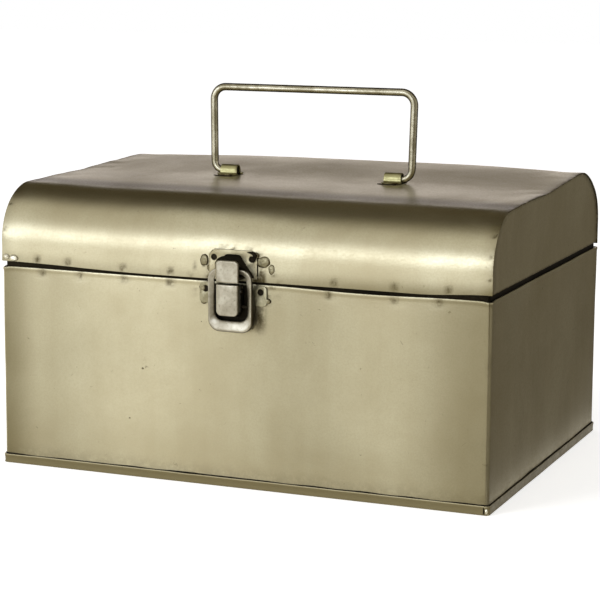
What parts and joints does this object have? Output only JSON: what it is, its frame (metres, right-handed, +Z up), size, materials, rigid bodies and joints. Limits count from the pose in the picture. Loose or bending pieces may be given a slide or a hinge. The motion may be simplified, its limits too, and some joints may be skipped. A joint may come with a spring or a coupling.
{
  "type": "tool box",
  "caption": "Small sheet-steel tool box with a round-edged hinged lid, folding wire handle, draw latch and rimmed base.",
  "frame": {"origin": "centre of the footprint, on the surface the box stands on", "axes": "+X to the right seen from the front, +Y to the back, +Z up; the latch faces -Y"},
  "size_m": [0.282, 0.2193, 0.2063],
  "materials": {
    "sheet": "aged pale brass lacquer, satin",
    "lip_sheet": "darker unpolished sheet",
    "wire": "plated wire, worn",
    "latch_metal": "plated pressed steel, worn smooth",
    "hinge_metal": "plated pressed steel, dulled"
  },
  "bodies": {
    "body": {"body_shell": "sheet", "bottom_pan": "sheet", "body_lip": "lip_sheet", "latch_base_plate": "latch_metal", "latch_lever_pin": "latch_metal", "hinge_left_body_leaf": "hinge_metal", "hinge_right_body_leaf": "hinge_metal", "hinge_left_pin": "hinge_metal", "hinge_right_pin": "hinge_metal", "hinge_body_rivets": "hinge_metal"},
    "lid": {"lid_cover": "sheet", "lid_end_left": "sheet", "lid_end_right": "sheet", "keeper_plate": "latch_metal", "handle_saddle_left": "sheet", "handle_saddle_right": "sheet", "hinge_left_lid_leaf": "hinge_metal", "hinge_right_lid_leaf": "hinge_metal", "hinge_lid_rivets": "hinge_metal"},
    "handle": {"handle_bail": "wire"},
    "lever": {"latch_lever": "latch_metal", "latch_loop_pin": "latch_metal"},
    "loop": {"latch_loop": "latch_metal"}
  },
  "joints": [
    {"name": "lid_hinge", "type": "hinge", "parent": "body", "child": "lid", "pos_m": [0, 0.105, 0.1114], "axis": [-1, 0, 0], "range_deg": [0, 110]},
    {"name": "handle_fold", "type": "hinge", "parent": "lid", "child": "handle", "pos_m": [0, 0, 0.1561], "axis": [-1, 0, 0], "range_deg": [-88, 84]},
    {"name": "latch_lift", "type": "hinge", "parent": "body", "child": "lever", "pos_m": [-0.0012, -0.1077, 0.1066], "axis": [-1, 0, 0], "range_deg": [0, 90]},
    {"name": "loop_tilt", "type": "hinge", "parent": "lever", "child": "loop", "pos_m": [-0.0012, -0.1066, 0.0986], "axis": [-1, 0, 0], "range_deg": [-56, 0]}
  ],
  "couplings": [
    {"joint": "loop_tilt", "follows": "latch_lift", "ratio": -0.62}
  ]
}
